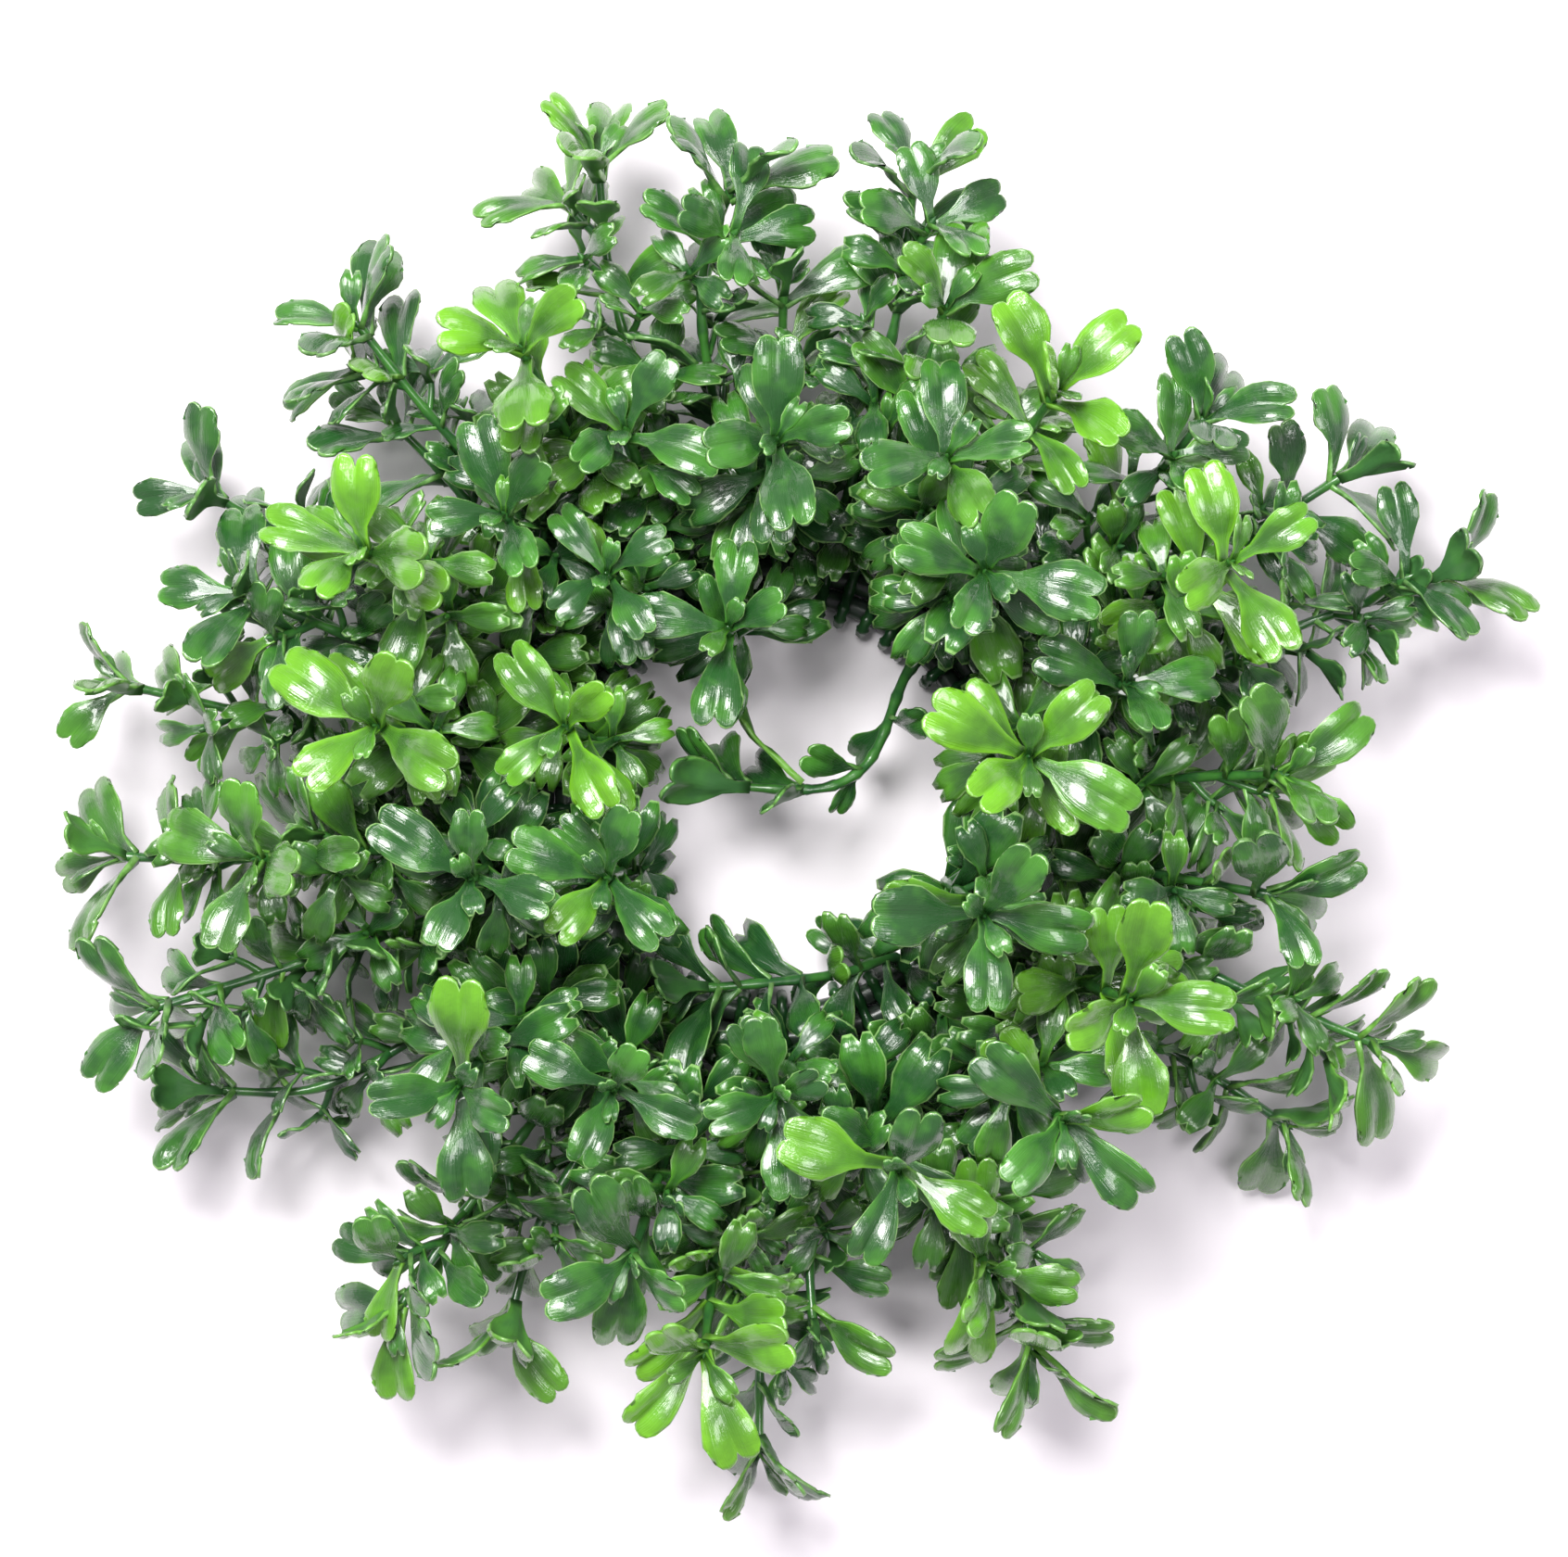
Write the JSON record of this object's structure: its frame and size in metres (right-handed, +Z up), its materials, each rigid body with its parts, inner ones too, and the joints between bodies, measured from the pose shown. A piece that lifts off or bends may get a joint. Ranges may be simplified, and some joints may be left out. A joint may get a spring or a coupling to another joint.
{
  "type": "artificial boxwood wreath",
  "caption": "Small artificial boxwood wreath: moulded-plastic sprays of glossy notched leaves, hooked over a ring of coated strands, with an open centre.",
  "frame": {"origin": "middle of the wreath's outline on the surface that it lies on", "axes": "+Z up, +X towards the picture's right, +Y towards its top"},
  "size_m": [0.2508, 0.2404, 0.0779],
  "materials": {
    "coated_strand": "smooth, satin sheen",
    "deep_green": "glossy moulded leaf",
    "fresh_green": "glossy moulded leaf",
    "lime_green": "glossy moulded leaf"
  },
  "bodies": {
    "root": {"core_strand_inner": "coated_strand", "core_strand_middle": "coated_strand", "core_strand_outer": "coated_strand", "spray_01": "fresh_green", "spray_02": "lime_green", "spray_03": "deep_green", "spray_04": "deep_green", "spray_05": "lime_green", "spray_06": "deep_green", "spray_07": "deep_green", "spray_08": "deep_green", "spray_09": "lime_green", "spray_10": "deep_green", "spray_11": "fresh_green", "spray_12": "deep_green", "spray_13": "deep_green", "spray_14": "deep_green", "spray_15": "deep_green", "spray_16": "deep_green", "spray_17": "fresh_green", "spray_18": "deep_green", "spray_19": "lime_green", "spray_20": "deep_green", "spray_21": "deep_green", "spray_22": "deep_green", "spray_23": "deep_green", "spray_24": "lime_green", "spray_25": "deep_green", "spray_26": "deep_green", "spray_27": "fresh_green", "spray_28": "lime_green", "spray_29": "lime_green", "spray_30": "fresh_green", "spray_31": "fresh_green", "spray_32": "deep_green", "spray_33": "deep_green", "spray_34": "deep_green", "spray_35": "deep_green", "spray_36": "deep_green", "spray_37": "deep_green", "spray_38": "deep_green", "spray_39": "deep_green", "spray_40": "lime_green", "spray_41": "deep_green", "spray_42": "deep_green", "spray_43": "deep_green", "spray_44": "deep_green", "spray_45": "fresh_green", "spray_46": "fresh_green", "spray_47": "deep_green", "spray_48": "lime_green", "spray_49": "fresh_green", "spray_50": "fresh_green", "spray_51": "deep_green", "spray_52": "deep_green", "spray_53": "fresh_green", "spray_along_hole": "deep_green", "sprig_across_hole": "deep_green"}
  },
  "joints": []
}
